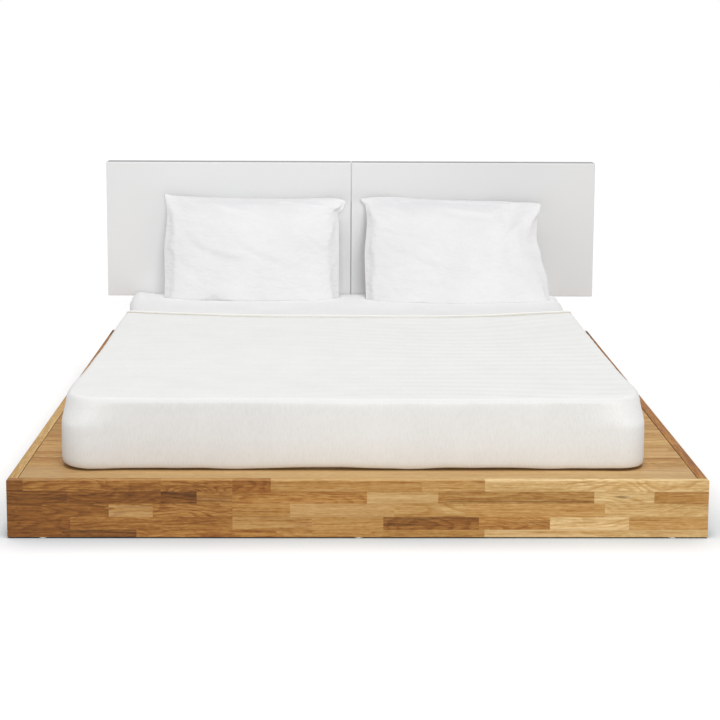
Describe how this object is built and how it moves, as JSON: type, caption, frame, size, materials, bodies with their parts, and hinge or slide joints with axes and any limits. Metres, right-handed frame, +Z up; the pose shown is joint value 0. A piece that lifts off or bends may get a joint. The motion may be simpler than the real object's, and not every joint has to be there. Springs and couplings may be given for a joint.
{
  "type": "platform bed",
  "caption": "Low platform bed with a wide stave-wood base, a floating white headboard in halves, mattress, blanket and pillows.",
  "frame": {"origin": "centre of the whole bed's footprint, on the floor", "axes": "+X to the right seen from the foot end, +Y from the foot end towards the headboard, +Z up"},
  "size_m": [1.84, 2.238, 0.808],
  "materials": {
    "oiled_staves": "oiled oak staves glued into boards, satin",
    "framing_timber": "planed softwood, bare",
    "white_lacquer": "white satin lacquer on board",
    "back_panel": "thin white faced board",
    "honeycomb_core": "paper honeycomb",
    "powder_coated_steel": "pale grey powder coat",
    "zinc_steel": "zinc plated",
    "glide_nylon": "moulded nylon",
    "mattress_ticking": "woven ticking",
    "white_cotton": "white woven cotton",
    "white_fleece": "short-pile fleece",
    "pillow_filling": "cotton-covered fibre filling"
  },
  "bodies": {
    "bed_frame": {"batten_screws": "zinc_steel", "beam_hanger_foot": "zinc_steel", "beam_hanger_head": "zinc_steel", "centre_beam": "framing_timber", "centre_leg_1": "framing_timber", "centre_leg_2": "framing_timber", "cleat_screws": "zinc_steel", "corner_block_foot_left": "framing_timber", "corner_block_foot_right": "framing_timber", "corner_block_head_left": "framing_timber", "corner_block_head_right": "framing_timber", "corner_bolts": "zinc_steel", "corner_washers": "zinc_steel", "deck_panel_1": "oiled_staves", "deck_panel_2": "oiled_staves", "deck_panel_3": "oiled_staves", "deck_panel_4": "oiled_staves", "deck_screws": "zinc_steel", "foot_cleat_left": "framing_timber", "foot_cleat_right": "framing_timber", "foot_rail": "oiled_staves", "hanger_screws": "zinc_steel", "head_cleat_left": "framing_timber", "head_cleat_right": "framing_timber", "head_rail": "oiled_staves", "headboard_back_left": "back_panel", "headboard_back_right": "back_panel", "headboard_bolts": "zinc_steel", "headboard_core": "honeycomb_core", "headboard_ribs": "framing_timber", "headboard_shell_left": "white_lacquer", "headboard_shell_right": "white_lacquer", "headboard_upright_centre": "powder_coated_steel", "headboard_upright_left": "powder_coated_steel", "headboard_upright_right": "powder_coated_steel", "leg_inserts": "zinc_steel", "leg_screws": "zinc_steel", "rail_bolts": "zinc_steel", "rail_glides": "glide_nylon", "rail_inserts": "zinc_steel", "seam_batten_1": "framing_timber", "seam_batten_2": "framing_timber", "seam_batten_3": "framing_timber", "side_cleat_left": "framing_timber", "side_cleat_right": "framing_timber", "side_rail_left": "oiled_staves", "side_rail_right": "oiled_staves", "upright_inserts": "zinc_steel"},
    "mattress": {"mattress": "mattress_ticking", "fitted_sheet": "white_cotton", "blanket": "white_fleece"},
    "pillow_left": {"pillow_insert_left": "pillow_filling", "pillowcase_left": "white_cotton"},
    "pillow_right": {"pillow_insert_right": "pillow_filling", "pillowcase_right": "white_cotton"},
    "levelling_foot_1": {"levelling_stem_1": "zinc_steel", "levelling_pad_1": "glide_nylon"},
    "levelling_foot_2": {"levelling_stem_2": "zinc_steel", "levelling_pad_2": "glide_nylon"}
  },
  "joints": [
    {"name": "mattress_lift", "type": "slide", "parent": "bed_frame", "child": "mattress", "axis": [0, 0, 1], "range_m": [0, 0.25]},
    {"name": "pillow_left_lift", "type": "slide", "parent": "mattress", "child": "pillow_left", "axis": [0, 0, 1], "range_m": [0, 0.3]},
    {"name": "pillow_right_lift", "type": "slide", "parent": "mattress", "child": "pillow_right", "axis": [0, 0, 1], "range_m": [0, 0.3]},
    {"name": "levelling_foot_1_reach", "type": "slide", "parent": "bed_frame", "child": "levelling_foot_1", "axis": [0, 0, -1], "range_m": [0, 0.012]},
    {"name": "levelling_foot_2_reach", "type": "slide", "parent": "bed_frame", "child": "levelling_foot_2", "axis": [0, 0, -1], "range_m": [0, 0.012]}
  ]
}
